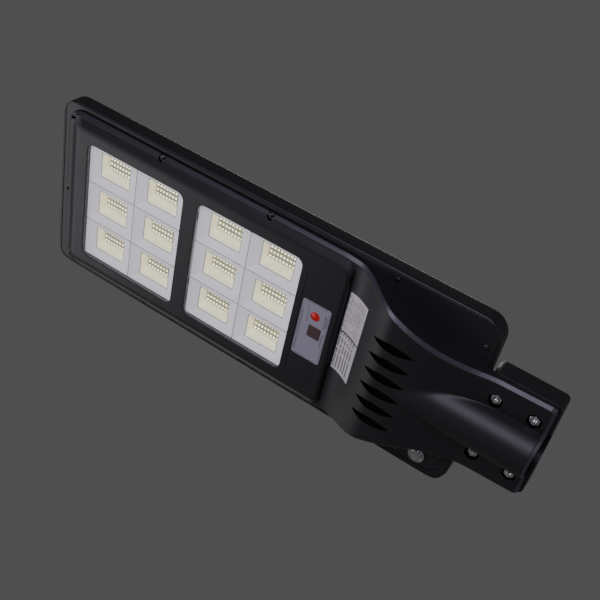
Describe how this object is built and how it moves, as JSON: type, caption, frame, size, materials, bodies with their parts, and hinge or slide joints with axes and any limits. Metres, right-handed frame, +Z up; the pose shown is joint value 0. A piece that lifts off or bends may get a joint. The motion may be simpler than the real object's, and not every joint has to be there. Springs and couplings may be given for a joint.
{
  "type": "solar street lamp",
  "caption": "Flat solar street lamp head with lit reflector windows, motion sensor, push button and a split socket that clamps on a pole.",
  "frame": {"origin": "centre of the pole socket's mouth, on its axis", "axes": "+X along the socket's axis out of its mouth, +Z up towards the solar panel, the lights face -Z"},
  "size_m": [0.621, 0.22, 0.057],
  "materials": {
    "shell_plastic": "fine moulded texture",
    "seal_rubber": "moulded",
    "screw_steel": "zinc plated",
    "clear_cover": "clear moulded plastic",
    "reflector_plastic": "white moulded",
    "light_board": "white solder mask",
    "light_chip": "warm white light",
    "heat_aluminium": "rolled sheet",
    "sensor_plate_plastic": "printed film",
    "red_lens": "moulded",
    "smoked_window": "smoked",
    "green_board": "solder mask",
    "sensor_can": "drawn can",
    "black_component": "moulded",
    "capacitor_sleeve": "shrink sleeve",
    "terminal_plastic": "moulded",
    "cradle_plastic": "moulded",
    "cell_sleeve": "shrink sleeve",
    "nickel": "nickel strip",
    "strap_steel": "zinc plated",
    "label_film": "printed film",
    "bolt_steel": "stainless",
    "panel_backing": "laminate",
    "solar_cell": "silicon",
    "panel_glass": "clear laminate",
    "panel_adhesive": "cured bead",
    "button_metal": "polished",
    "spring_steel": "drawn wire"
  },
  "bodies": {
    "lamp": {"face_shell": "shell_plastic", "panel_tray": "shell_plastic", "case_seal": "seal_rubber", "case_screws": "screw_steel", "tip_window": "clear_cover", "arm_window": "clear_cover", "tip_window_seal": "seal_rubber", "arm_window_seal": "seal_rubber", "tip_reflector": "reflector_plastic", "arm_reflector": "reflector_plastic", "tip_light_board": "light_board", "arm_light_board": "light_board", "tip_leds": "light_chip", "arm_leds": "light_chip", "heat_plate": "heat_aluminium", "heat_plate_screws": "screw_steel", "sensor_plate": "sensor_plate_plastic", "motion_lens": "red_lens", "light_window": "smoked_window", "sensor_board": "green_board", "motion_sensor": "sensor_can", "light_sensor": "black_component", "sensor_screws": "screw_steel", "controller_board": "green_board", "controller_chips": "black_component", "controller_capacitors": "capacitor_sleeve", "controller_terminals": "terminal_plastic", "controller_screws": "screw_steel", "battery_cradle": "cradle_plastic", "battery_cells": "cell_sleeve", "battery_links": "nickel", "battery_straps": "strap_steel", "battery_screws": "screw_steel", "rating_label": "label_film", "charge_label": "label_film", "pole_clamp": "shell_plastic", "clamp_bolts": "bolt_steel", "clamp_washers": "bolt_steel", "clamp_nuts": "bolt_steel", "panel_board": "panel_backing", "solar_cells": "solar_cell", "panel_glass": "panel_glass", "panel_adhesive": "panel_adhesive", "button_body": "button_metal", "button_base": "black_component", "button_spring": "spring_steel", "button_nut": "button_metal", "button_seal": "seal_rubber"},
    "button": {"button_cap": "button_metal"}
  },
  "joints": [
    {"name": "button_press", "type": "slide", "parent": "lamp", "child": "button", "axis": [0, 0, 1], "range_m": [0, 0.002], "stiffness_N_per_m": 700, "springref_m": -0.001, "deforming": ["button_spring"]}
  ]
}
